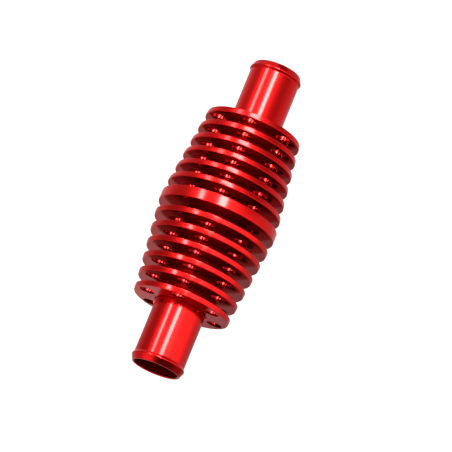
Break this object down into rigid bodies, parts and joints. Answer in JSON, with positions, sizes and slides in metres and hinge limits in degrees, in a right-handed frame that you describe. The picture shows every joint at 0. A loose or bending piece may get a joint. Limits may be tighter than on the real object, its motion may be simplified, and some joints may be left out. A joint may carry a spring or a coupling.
{
  "type": "in-line fuel filter",
  "caption": "Finned barrel-shaped aluminium in-line fuel filter with a beaded hose spigot at each end.",
  "frame": {"origin": "centre of the outlet spigot's tip, which the part stands on", "axes": "+Z along the filter's axis from the outlet to the inlet; +X midway between two of the lengthwise holes"},
  "size_m": [0.0424, 0.0424, 0.115],
  "materials": {
    "anodised": "red anodised, finely turned",
    "rubber": "smooth seal rubber",
    "steel": "bright stainless",
    "mesh": "woven stainless",
    "plain": "plain machined",
    "resin": "cured resin"
  },
  "bodies": {
    "housing": {"finned_body": "anodised", "pressure_spring": "steel", "element_top_cap": "plain", "top_potting_ring": "resin", "core_tube": "steel", "support_gauze": "mesh", "pleated_mesh": "mesh", "seam_clip": "steel", "outer_guard": "steel", "bottom_potting_ring": "resin", "element_bottom_cap": "plain", "element_o_ring": "rubber", "support_washer": "steel", "retaining_ring": "steel"},
    "inlet_carrier": {"inlet_o_ring": "rubber", "inlet_screen": "mesh", "thrust_washer": "steel"},
    "inlet_fitting": {"inlet_spigot": "anodised"},
    "outlet_carrier": {"outlet_o_ring": "rubber"},
    "outlet_fitting": {"outlet_spigot": "anodised"}
  },
  "joints": [
    {"name": "inlet_travel", "type": "slide", "parent": "housing", "child": "inlet_carrier", "axis": [0, 0, 1], "range_m": [0, 0.006], "deforming": ["pressure_spring"]},
    {"name": "inlet_unscrew", "type": "hinge", "parent": "inlet_carrier", "child": "inlet_fitting", "pos_m": [0, 0, 0.0919], "axis": [0, 0, 1], "range_deg": [0, 1440]},
    {"name": "outlet_travel", "type": "slide", "parent": "housing", "child": "outlet_carrier", "axis": [0, 0, -1], "range_m": [0, 0.006]},
    {"name": "outlet_unscrew", "type": "hinge", "parent": "outlet_carrier", "child": "outlet_fitting", "pos_m": [0, 0, 0.0231], "axis": [0, 0, -1], "range_deg": [0, 1440]}
  ],
  "couplings": [
    {"joint": "inlet_travel", "follows": "inlet_unscrew", "m_per_rad": 0.00023873},
    {"joint": "outlet_travel", "follows": "outlet_unscrew", "m_per_rad": 0.00023873}
  ]
}
